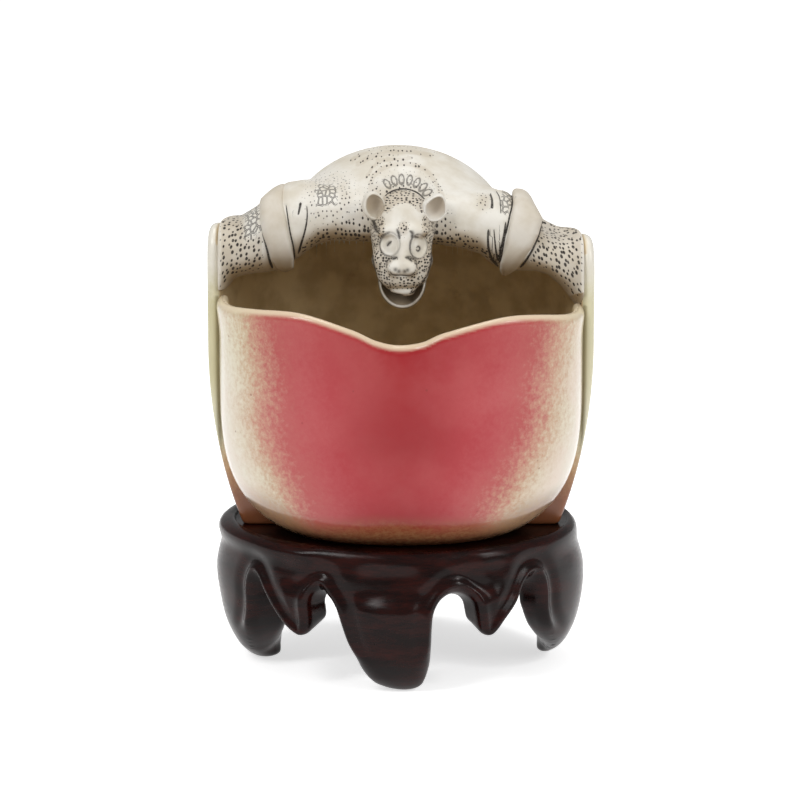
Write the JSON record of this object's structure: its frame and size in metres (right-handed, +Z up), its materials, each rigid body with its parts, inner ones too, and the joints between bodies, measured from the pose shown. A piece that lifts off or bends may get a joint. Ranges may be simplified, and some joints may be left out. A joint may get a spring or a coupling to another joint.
{
  "type": "water coupe",
  "caption": "Small peach-form ceramic water coupe with a crouching beast across its mouth, seated on a carved dark wood stand.",
  "frame": {"origin": "on the floor under the middle of the object", "axes": "+Z up, -Y towards the peach-coloured front panel, +X to the viewer's right"},
  "size_m": [0.096, 0.0817, 0.1284],
  "materials": {
    "peach_glaze": "glossy",
    "pale_glaze": "glossy",
    "bare_clay": "matte, bare",
    "biscuit": "matte biscuit",
    "dark_wood": "polished"
  },
  "bodies": {
    "stand": {"stand": "dark_wood"},
    "coupe": {"rear_shell": "pale_glaze", "front_panel": "peach_glaze", "floor_slab": "bare_clay", "beast_body": "biscuit", "beast_back": "biscuit", "left_arm": "biscuit", "right_arm": "biscuit", "left_ring": "biscuit", "right_ring": "biscuit", "left_fold": "biscuit", "right_fold": "biscuit", "head": "biscuit", "lower_jaw": "biscuit", "nose": "biscuit", "left_eye": "biscuit", "right_eye": "biscuit", "left_ear": "biscuit", "right_ear": "biscuit", "collar_band": "biscuit", "collar_beads": "biscuit"}
  },
  "joints": [
    {"name": "coupe_lift", "type": "slide", "parent": "stand", "child": "coupe", "axis": [0, 0, 1], "range_m": [0, 0.05]}
  ]
}
